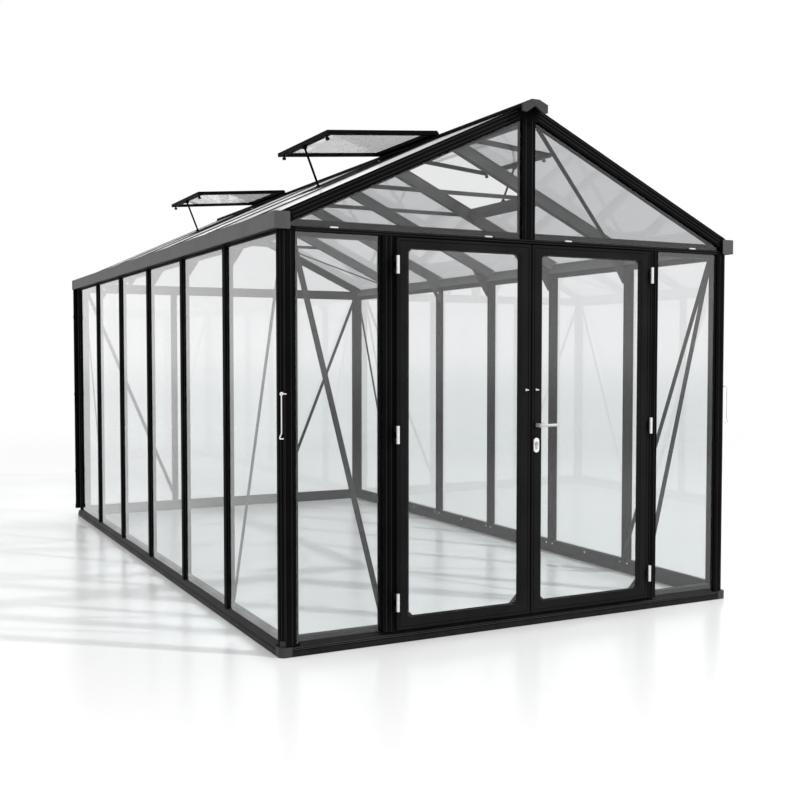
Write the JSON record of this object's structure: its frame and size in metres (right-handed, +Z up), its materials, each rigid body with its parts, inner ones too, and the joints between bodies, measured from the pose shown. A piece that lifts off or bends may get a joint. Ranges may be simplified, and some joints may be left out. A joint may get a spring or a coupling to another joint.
{
  "type": "glass greenhouse",
  "caption": "Free-standing glass greenhouse with a ridge roof, hinged double doors with a lever, hold-back hooks, gutters and propped roof vents.",
  "frame": {"origin": "ground level, in the middle of the base frame in plan", "axes": "+X to the right seen from the doors, +Y along the ridge away from the doors, +Z up"},
  "size_m": [2.4712, 4.5853, 2.4111],
  "materials": {
    "frame_black": "satin black powder coat",
    "frame_grey": "satin grey coat on gutters and end caps",
    "bright_metal": "satin bright fittings",
    "glass": "clear safety glass"
  },
  "bodies": {
    "building": {"front_sill": "frame_black", "back_sill": "frame_black", "left_sill": "frame_black", "right_sill": "frame_black", "sill_corner_caps": "frame_grey", "front_corner_posts": "frame_black", "back_corner_posts": "frame_black", "left_wall_bars": "frame_black", "right_wall_bars": "frame_black", "back_wall_bars": "frame_black", "door_posts": "frame_black", "front_transom": "frame_black", "back_transom": "frame_black", "left_gutter": "frame_grey", "right_gutter": "frame_grey", "gutter_end_caps": "frame_grey", "front_rake_bars": "frame_black", "back_rake_bars": "frame_black", "gable_bars": "frame_black", "left_rafters": "frame_black", "right_rafters": "frame_black", "ridge_beam": "frame_black", "ridge_cap": "frame_black", "ridge_end_caps": "frame_grey", "collar_ties": "frame_black", "knee_gussets": "frame_black", "wall_braces": "frame_black", "roof_braces": "frame_black", "left_wall_glass": "glass", "right_wall_glass": "glass", "front_side_glass": "glass", "back_wall_glass": "glass", "gable_glass": "glass", "downpipes": "frame_black", "left_roof_glass": "glass", "right_roof_glass": "glass", "vent_frames": "frame_black", "vent_glass": "glass", "vent_sills": "frame_black", "vent_stays": "frame_black", "frame_hinge_leaves": "bright_metal", "post_eyes": "bright_metal"},
    "left_door": {"left_door_frame": "frame_black", "left_door_glass": "glass", "left_door_hinges": "bright_metal", "left_door_eye": "bright_metal"},
    "right_door": {"right_door_frame": "frame_black", "right_door_glass": "glass", "right_door_hinges": "bright_metal", "right_door_eye": "bright_metal", "lock_escutcheon": "bright_metal"},
    "lever": {"lever_handle": "bright_metal"},
    "left_hook": {"left_hook": "bright_metal"},
    "right_hook": {"right_hook": "bright_metal"}
  },
  "joints": [
    {"name": "left_door_swing", "type": "hinge", "parent": "building", "child": "left_door", "pos_m": [-0.69, -2.265, 0.9], "axis": [0, 0, -1], "range_deg": [0, 180]},
    {"name": "right_door_swing", "type": "hinge", "parent": "building", "child": "right_door", "pos_m": [0.69, -2.265, 0.9], "axis": [0, 0, 1], "range_deg": [0, 180]},
    {"name": "lever_turn", "type": "hinge", "parent": "right_door", "child": "lever", "pos_m": [0.026, -2.253, 0.929], "axis": [0, 1, 0], "range_deg": [0, 40], "stiffness_Nm_per_rad": 1.5, "springref_deg": -11.46},
    {"name": "left_hook_swing", "type": "hinge", "parent": "building", "child": "left_hook", "pos_m": [-1.2085, -2.235, 1.091], "axis": [0, 1, 0], "range_deg": [0, 90]},
    {"name": "right_hook_swing", "type": "hinge", "parent": "building", "child": "right_hook", "pos_m": [1.2085, -2.235, 1.091], "axis": [0, -1, 0], "range_deg": [0, 90]}
  ]
}
